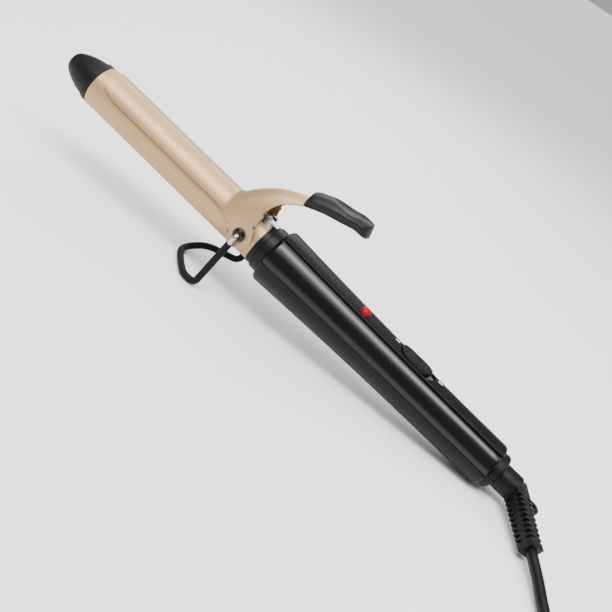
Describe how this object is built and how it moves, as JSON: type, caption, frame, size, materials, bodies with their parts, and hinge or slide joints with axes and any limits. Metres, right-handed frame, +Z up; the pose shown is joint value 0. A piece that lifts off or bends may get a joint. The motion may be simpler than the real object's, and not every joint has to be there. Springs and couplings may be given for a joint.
{
  "type": "curling iron",
  "caption": "Hair curling iron: heated barrel with a sprung clip and thumb lever, folding wire stand, tapered handle with slide switch, swivel mains cord.",
  "frame": {"origin": "on the table, under the middle of the box of the iron without its cord", "axes": "+X along the iron from the tip to the cord, which slopes 8.1 degrees down; +Z up; the side with the lever and the switch is up"},
  "size_m": [0.4876, 0.1037, 0.0744],
  "materials": {
    "gold": "satin champagne-gold coating with fine metallic grain",
    "tip_black": "moulded heat-proof plastic, fine matt grain",
    "body_black": "moulded ABS, soft matt",
    "gloss_black": "moulded ABS, polished",
    "grip_black": "moulded plastic, satin",
    "lens_red": "red polycarbonate lens",
    "lamp_glass": "small neon lamp",
    "mark_white": "pad printed ink",
    "steel": "bright zinc-plated steel",
    "aluminium": "mill finish extruded aluminium",
    "ceramic": null,
    "board_green": "glass-epoxy board with solder mask",
    "switch_grey": "moulded nylon",
    "brass": "plated brass",
    "wire_red": "silicone insulated lead",
    "sleeve_black": "silicone sleeve, matt",
    "cord_black": "PVC mains flex, satin",
    "plug_black": "moulded PVC plug",
    "plated": "nickel-plated brass pins"
  },
  "bodies": {
    "handle": {"tip_cap": "tip_black", "barrel_tube": "gold", "heat_spreader_upper": "aluminium", "heat_spreader_lower": "aluminium", "heater_plate": "ceramic", "thermal_fuse": "steel", "ceramic_end_bush": "ceramic", "heater_leads": "wire_red", "pivot_bushes": "steel", "pivot_grommets": "body_black", "spring_saddle": "steel", "clip_spring": "steel", "saddle_screw": "steel", "front_collar": "body_black", "rear_collar": "body_black", "handle_bottom_shell": "body_black", "handle_upper_frame": "switch_grey", "side_panel_near": "gloss_black", "side_panel_far": "gloss_black", "handle_top_strip": "body_black", "switch_body": "switch_grey", "circuit_board": "board_green", "board_screws": "steel", "indicator_lens": "lens_red", "indicator_lamp": "lamp_glass", "switch_marks": "mark_white", "handle_screws": "steel", "end_collar_upper": "body_black", "end_collar_lower": "body_black", "contact_springs": "brass", "inner_mains_wires": "wire_red"},
    "clip": {"clip": "gold", "thumb_grip": "grip_black", "grip_rivet": "steel"},
    "stand": {"stand_wire": "steel", "stand_sleeve": "sleeve_black"},
    "switch": {"switch_knob": "body_black"},
    "cord": {"swivel_neck": "body_black", "slip_rings": "brass", "strain_relief": "cord_black", "power_cord": "cord_black", "cord_coil": "cord_black", "cord_tail": "cord_black", "cord_tie": "sleeve_black", "plug_body": "plug_black", "plug_pins": "plated"}
  },
  "joints": [
    {"name": "clip_hinge", "type": "hinge", "parent": "handle", "child": "clip", "pos_m": [-0.02717, 0, 0.03521], "axis": [0, 1, 0], "range_deg": [0, 25], "stiffness_Nm_per_rad": 0.3, "springref_deg": -28.65, "deforming": ["clip_spring"]},
    {"name": "stand_hinge", "type": "hinge", "parent": "handle", "child": "stand", "pos_m": [-0.02717, 0, 0.03521], "axis": [0, 1, 0], "range_deg": [0, 40]},
    {"name": "switch_slide", "type": "slide", "parent": "handle", "child": "switch", "axis": [0.99, 0, -0.1409], "range_m": [0, 0.0024]},
    {"name": "cord_swivel", "type": "hinge", "parent": "handle", "child": "cord", "pos_m": [0.14785, 0, 0.00949], "axis": [0.99, 0, -0.1409], "continuous": true}
  ]
}
